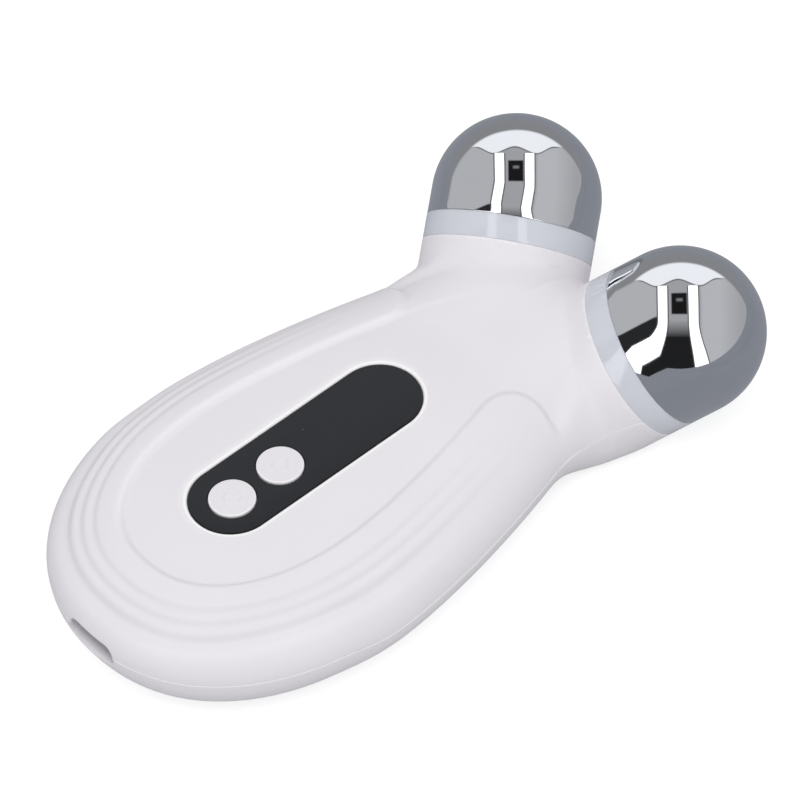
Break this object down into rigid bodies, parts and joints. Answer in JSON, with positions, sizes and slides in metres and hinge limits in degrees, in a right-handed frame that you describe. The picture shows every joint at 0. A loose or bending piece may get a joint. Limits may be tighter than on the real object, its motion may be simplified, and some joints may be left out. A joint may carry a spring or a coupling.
{
  "type": "facial toning device",
  "caption": "Hand-held facial toner: egg-shaped white handle with a black button window, forked neck, milky light rings and polished domes.",
  "frame": {"origin": "centre of the footprint at the height of the flat back", "axes": "+Y from the charging port to the two heads, +Z out of the button panel, +X across to the right head seen from the port end with the panel up"},
  "size_m": [0.0704, 0.1273, 0.0323],
  "materials": {
    "case_white": "satin moulded ABS",
    "window_black": "back-printed polycarbonate, satin gloss",
    "tape_black": "double-sided foam tape",
    "key_white": "satin moulded ABS",
    "switch_black": "moulded nylon",
    "switch_steel": "stamped steel",
    "board_green": "solder mask on glass epoxy",
    "display_grey": "epoxy-filled display housing",
    "diffuser_white": "diffusing film",
    "chip_black": "epoxy moulding compound",
    "ferrite_grey": "sintered ferrite",
    "socket_cream": "moulded nylon",
    "cell_foil": "laminated foil pouch",
    "foam_black": "foam pad",
    "lead_red": "silicone insulation",
    "lead_white": "silicone insulation",
    "port_steel": "deep-drawn stainless steel",
    "screw_zinc": "zinc-plated",
    "dome_chrome": "polished chrome plating",
    "ring_milky": "milky polycarbonate, glossy",
    "core_white": "moulded ABS",
    "led_board_white": "white solder mask",
    "spring_bronze": "rolled phosphor bronze"
  },
  "bodies": {
    "case": {"top_shell": "case_white", "bottom_shell": "case_white", "display_window": "window_black", "window_tape": "tape_black", "power_switch": "switch_steel", "mode_switch": "switch_steel", "main_board": "board_green", "display_module": "display_grey", "display_diffuser": "diffuser_white", "control_chip": "chip_black", "boost_coil": "ferrite_grey", "pulse_transformer": "ferrite_grey", "battery_socket": "socket_cream", "battery_cell": "cell_foil", "battery_foam": "foam_black", "battery_leads": "lead_red", "port_board": "board_green", "usb_shell": "port_steel", "usb_tongue": "chip_black", "port_leads": "lead_white", "left_dome": "dome_chrome", "right_dome": "dome_chrome", "left_light_ring": "ring_milky", "right_light_ring": "ring_milky", "left_head_core": "core_white", "right_head_core": "core_white", "left_led_board": "led_board_white", "right_led_board": "led_board_white", "left_dome_seat": "core_white", "right_dome_seat": "core_white", "left_contact_spring": "spring_bronze", "right_contact_spring": "spring_bronze", "left_dome_screw": "screw_zinc", "right_dome_screw": "screw_zinc", "left_electrode_lead": "lead_red", "right_electrode_lead": "lead_red", "left_led_lead": "lead_white", "right_led_lead": "lead_white", "case_screws": "screw_zinc", "board_screws": "screw_zinc", "port_board_screws": "screw_zinc"},
    "power_key": {"power_button": "key_white", "power_plunger": "switch_black"},
    "mode_key": {"mode_button": "key_white", "mode_plunger": "switch_black"}
  },
  "joints": [
    {"name": "power_press", "type": "slide", "parent": "case", "child": "power_key", "axis": [0, 0, -1], "range_m": [0, 0.0003], "stiffness_N_per_m": 1000},
    {"name": "mode_press", "type": "slide", "parent": "case", "child": "mode_key", "axis": [0, 0, -1], "range_m": [0, 0.0003], "stiffness_N_per_m": 1000}
  ]
}
